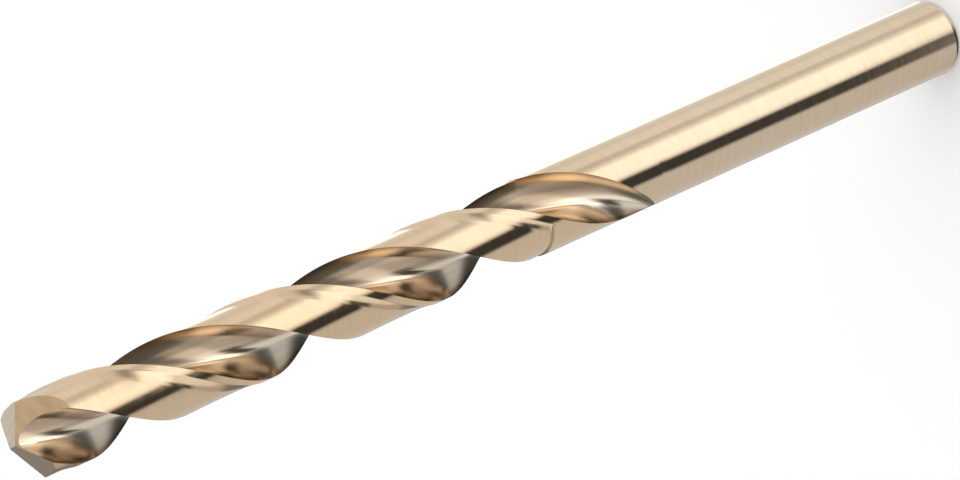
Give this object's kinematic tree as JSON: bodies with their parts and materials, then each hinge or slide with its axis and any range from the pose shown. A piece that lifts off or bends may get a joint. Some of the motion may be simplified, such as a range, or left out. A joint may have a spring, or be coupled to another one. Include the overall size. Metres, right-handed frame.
{
  "type": "twist drill bit",
  "caption": "Right-hand jobber twist drill with helical flutes, narrow margins, a split-style faceted point and a plain straight shank, straw-gold ground steel.",
  "frame": {"origin": "centre of the flat end of the shank, where the drill stands", "axes": "+Z along the axis from the shank to the point; +X along the cutting lips, as the point is seen from above"},
  "size_m": [0.0078, 0.0078, 0.117],
  "materials": {
    "straw_steel": "ground high speed steel with a straw-gold heat tint"
  },
  "bodies": {
    "root": {"twist_drill": "straw_steel"}
  },
  "joints": []
}
